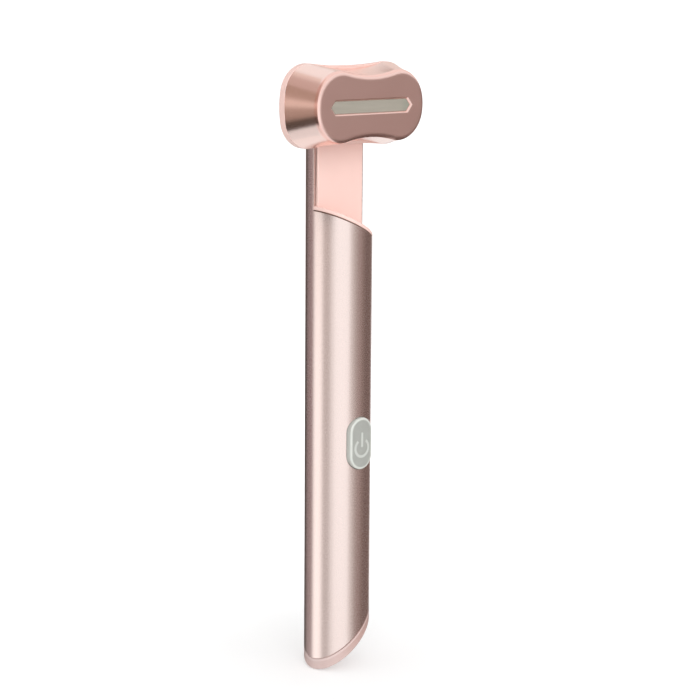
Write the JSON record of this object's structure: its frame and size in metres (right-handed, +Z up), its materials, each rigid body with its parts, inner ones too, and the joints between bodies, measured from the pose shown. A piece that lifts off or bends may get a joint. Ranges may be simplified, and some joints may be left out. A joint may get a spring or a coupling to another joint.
{
  "type": "heated eye massager wand",
  "caption": "Slim rose-gold wand with a slanted base cap, a half-round neck, a swivelling two-lobed heated head with a light window, and a power button.",
  "frame": {"origin": "on the handle tube's axis, level with the middle of the power button", "axes": "+Z up along the handle to the head, +Y to the back, away from the power button and the heated face, +X to the right seen from the front"},
  "size_m": [0.0446, 0.0216, 0.1656],
  "materials": {
    "satin_tube": "satin",
    "polished_head": "polished",
    "pink_plastic": "gloss",
    "cap_plastic": "gloss",
    "lens_plastic": "gloss",
    "button_plastic": "gloss",
    "symbol_plastic": "matte",
    "bare_steel": "satin",
    "heavy_alloy": "satin",
    "plated_port": "satin",
    "white_acetal": "matte",
    "black_nylon": "matte",
    "board_green": "satin",
    "chip_black": "matte",
    "led_red": "gloss",
    "heater_amber": "gloss",
    "cell_wrap": "gloss",
    "seal_rubber": "matte",
    "foam": "matte",
    "wire_jacket": "matte"
  },
  "bodies": {
    "handle": {"body_tube": "satin_tube", "neck_insert": "pink_plastic", "bottom_cap": "cap_plastic", "cap_seal": "seal_rubber", "usb_shell": "plated_port", "usb_tongue": "black_nylon", "charge_board": "board_green", "charge_lead": "wire_jacket", "inner_frame": "black_nylon", "battery_cell": "cell_wrap", "cell_guard_board": "board_green", "foam_pad": "foam", "battery_leads": "wire_jacket", "control_board": "board_green", "board_chips": "chip_black", "board_screws": "bare_steel", "switch_body": "chip_black", "indicator_leds": "led_red", "harness_plug": "white_acetal", "handle_harness": "wire_jacket", "motor_can": "bare_steel", "motor_sleeve": "seal_rubber", "motor_leads": "wire_jacket", "pivot_bush": "white_acetal", "thrust_washer": "white_acetal", "friction_ring": "white_acetal"},
    "head": {"head_back_cover": "pink_plastic", "head_gasket": "seal_rubber", "head_shell": "polished_head", "light_window": "lens_plastic", "light_box": "white_acetal", "led_board": "board_green", "red_leds": "led_red", "heater_film": "heater_amber", "heater_leads": "bare_steel", "thermistor": "chip_black", "thermistor_lead": "wire_jacket", "pivot_spindle": "bare_steel", "spindle_screws": "bare_steel", "spring_washer": "bare_steel", "retaining_clip": "bare_steel", "head_harness": "wire_jacket"},
    "button": {"power_button": "button_plastic", "power_symbol": "symbol_plastic", "switch_plunger": "chip_black"},
    "rotor": {"motor_shaft": "bare_steel", "eccentric_weight": "heavy_alloy"}
  },
  "joints": [
    {"name": "head_swivel", "type": "hinge", "parent": "handle", "child": "head", "pos_m": [0, 0, 0.0906], "axis": [0, -1, 0], "range_deg": [-90, 90]},
    {"name": "button_press", "type": "slide", "parent": "handle", "child": "button", "axis": [0, 1, 0], "range_m": [0, 0.00035], "stiffness_N_per_m": 2500},
    {"name": "motor_spin", "type": "hinge", "parent": "handle", "child": "rotor", "pos_m": [0, 0.001, 0.045], "axis": [0, 0, 1], "continuous": true}
  ]
}
